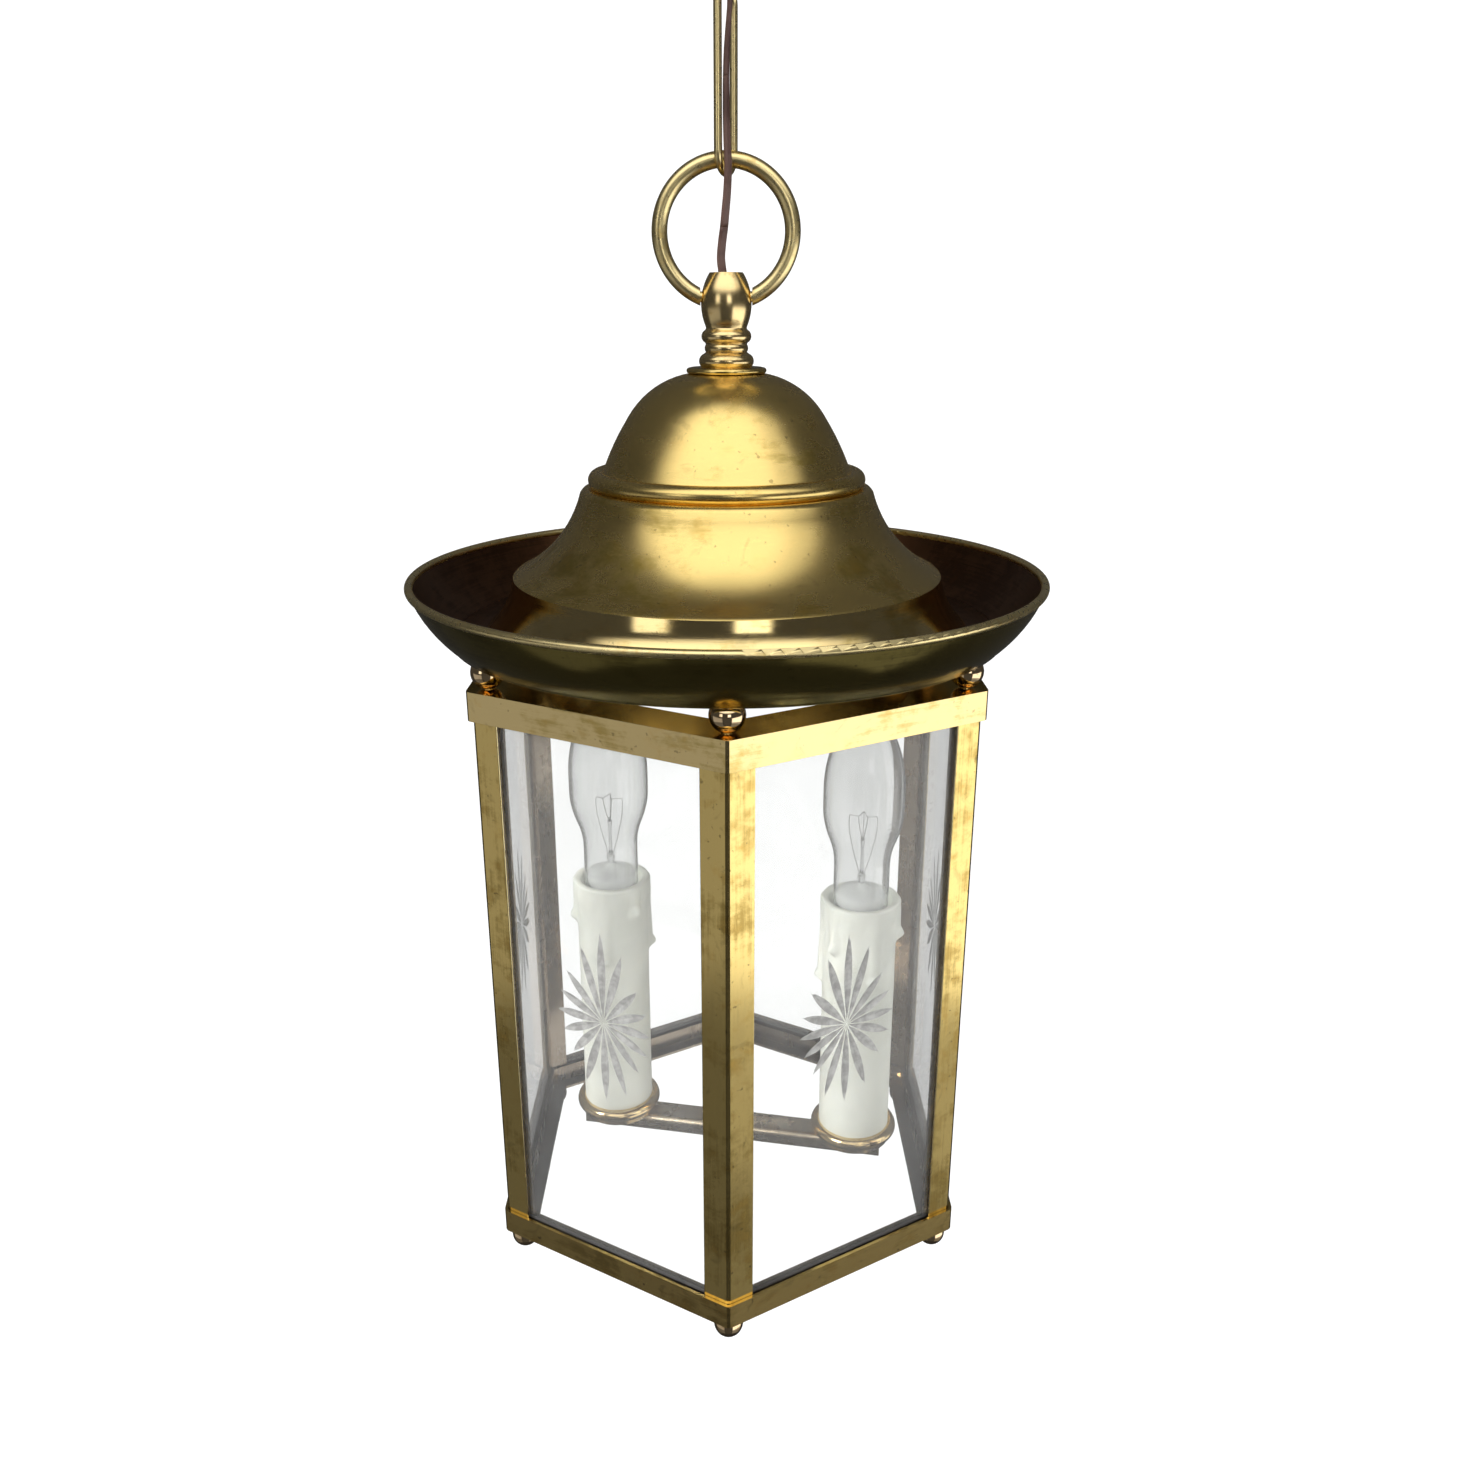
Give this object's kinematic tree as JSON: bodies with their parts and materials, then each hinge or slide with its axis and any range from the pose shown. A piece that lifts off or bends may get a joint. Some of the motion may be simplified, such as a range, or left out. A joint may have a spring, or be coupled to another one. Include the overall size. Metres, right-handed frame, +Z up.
{
  "type": "hanging lantern",
  "caption": "Hexagonal brass hanging lantern with star-cut clear panes, a vented dome roof, electric candle lamps and a ring on a chain link below a ceiling rose.",
  "frame": {"origin": "centre of the ceiling rose's top face, which meets the ceiling", "axes": "+Z up to the ceiling; the lantern hangs down -Z, with one corner post of the cage towards -Y (the front) and +X to the right; the hanging ring lies in the XZ plane"},
  "size_m": [0.2356, 0.2356, 0.4883],
  "materials": {
    "brass": "satin",
    "bright_brass": "polished",
    "aged_brass": "aged, half polished",
    "dark_brass": "tarnished",
    "pane_glass": "clear, with cut stars",
    "lamp_glass": "clear",
    "lamp_cap": "satin",
    "lamp_wire": "satin",
    "sleeve": "satin",
    "holder": "matt",
    "flex": "satin",
    "bush": "satin"
  },
  "bodies": {
    "root": {"ceiling_rose": "brass", "ceiling_plate": "dark_brass", "ceiling_hook": "brass", "hook_nut": "bright_brass", "flex_bush": "bush", "flex_upper": "flex"},
    "link": {"chain_link": "bright_brass", "flex_middle": "flex"},
    "ring": {"hanging_ring": "bright_brass", "flex_lower": "flex"},
    "lantern": {"finial": "bright_brass", "dome_collar": "bright_brass", "dome": "aged_brass", "pan": "dark_brass", "spacer_balls": "bright_brass", "ball_studs": "brass", "top_frame": "aged_brass", "post_front": "aged_brass", "post_front_right": "aged_brass", "post_back_right": "aged_brass", "post_back": "aged_brass", "post_back_left": "aged_brass", "post_front_left": "aged_brass", "pane_front_right": "pane_glass", "pane_right": "pane_glass", "pane_back_right": "pane_glass", "pane_back_left": "pane_glass", "pane_left": "pane_glass", "pane_front_left": "pane_glass", "pane_retainers": "dark_brass", "bottom_frame": "aged_brass", "foot_balls": "bright_brass", "foot_studs": "brass", "stem_tube": "brass", "stem_nuts": "bright_brass", "candle_bar": "brass", "candle_nuts": "bright_brass", "lamp_wires": "flex", "candle_stem_left": "brass", "candle_cup_left": "bright_brass", "candle_sleeve_left": "sleeve", "lampholder_left": "holder", "holder_contact_left": "bright_brass", "candle_stem_right": "brass", "candle_cup_right": "bright_brass", "candle_sleeve_right": "sleeve", "lampholder_right": "holder", "holder_contact_right": "bright_brass"},
    "bulb_left": {"bulb_glass_left": "lamp_glass", "bulb_cap_left": "lamp_cap", "bulb_mount_left": "lamp_wire"},
    "bulb_right": {"bulb_glass_right": "lamp_glass", "bulb_cap_right": "lamp_cap", "bulb_mount_right": "lamp_wire"}
  },
  "joints": [
    {"name": "link_swing", "type": "hinge", "parent": "root", "child": "link", "pos_m": [0, 0, -0.02835], "axis": [0.9135, -0.4067, 0], "range_deg": [-12, 12]},
    {"name": "ring_swing", "type": "hinge", "parent": "link", "child": "ring", "pos_m": [0, 0, -0.08235], "axis": [0.4067, 0.9135, 0], "range_deg": [-15, 15]},
    {"name": "lantern_tilt", "type": "hinge", "parent": "ring", "child": "lantern", "pos_m": [0, 0, -0.1236], "axis": [1, 0, 0], "range_deg": [-15, 15]},
    {"name": "bulb_left_lift", "type": "slide", "parent": "lantern", "child": "bulb_left", "axis": [0, 0, 1], "range_m": [0, 0.03]},
    {"name": "bulb_right_lift", "type": "slide", "parent": "lantern", "child": "bulb_right", "axis": [0, 0, 1], "range_m": [0, 0.03]}
  ]
}
